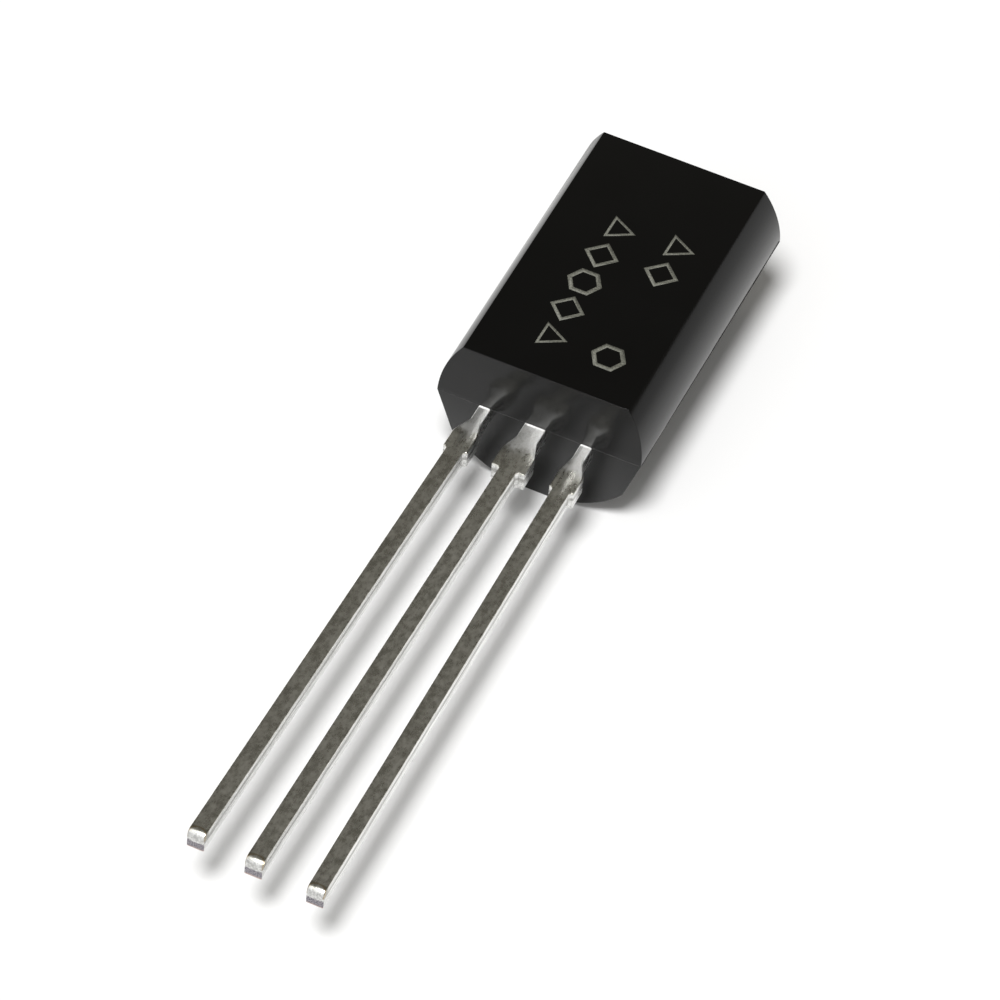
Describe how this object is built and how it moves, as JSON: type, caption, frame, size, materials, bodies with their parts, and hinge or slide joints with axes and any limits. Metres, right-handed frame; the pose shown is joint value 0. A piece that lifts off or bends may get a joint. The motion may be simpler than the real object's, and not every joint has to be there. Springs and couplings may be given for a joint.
{
  "type": "long-body three-lead transistor",
  "caption": "Small black moulded transistor with a flat face, a domed back and a row of long flat tinned leads.",
  "frame": {"origin": "middle of the whole part's box, on the surface that the domed back lies on", "axes": "+Y along the body away from the leads, +Z out of the flat face, X across the lead row"},
  "size_m": [0.005, 0.0218, 0.0037],
  "materials": {
    "moulding": "satin black moulding compound",
    "tinned_lead": "dull tin plating on copper alloy",
    "solder": "soft solder",
    "silicon": "polished silicon",
    "bond_wire": "gold wire"
  },
  "bodies": {
    "root": {"moulded_body": "moulding", "emitter_lead": "tinned_lead", "collector_lead": "tinned_lead", "base_lead": "tinned_lead", "die_solder": "solder", "transistor_die": "silicon", "emitter_wire": "bond_wire", "base_wire": "bond_wire"}
  },
  "joints": []
}
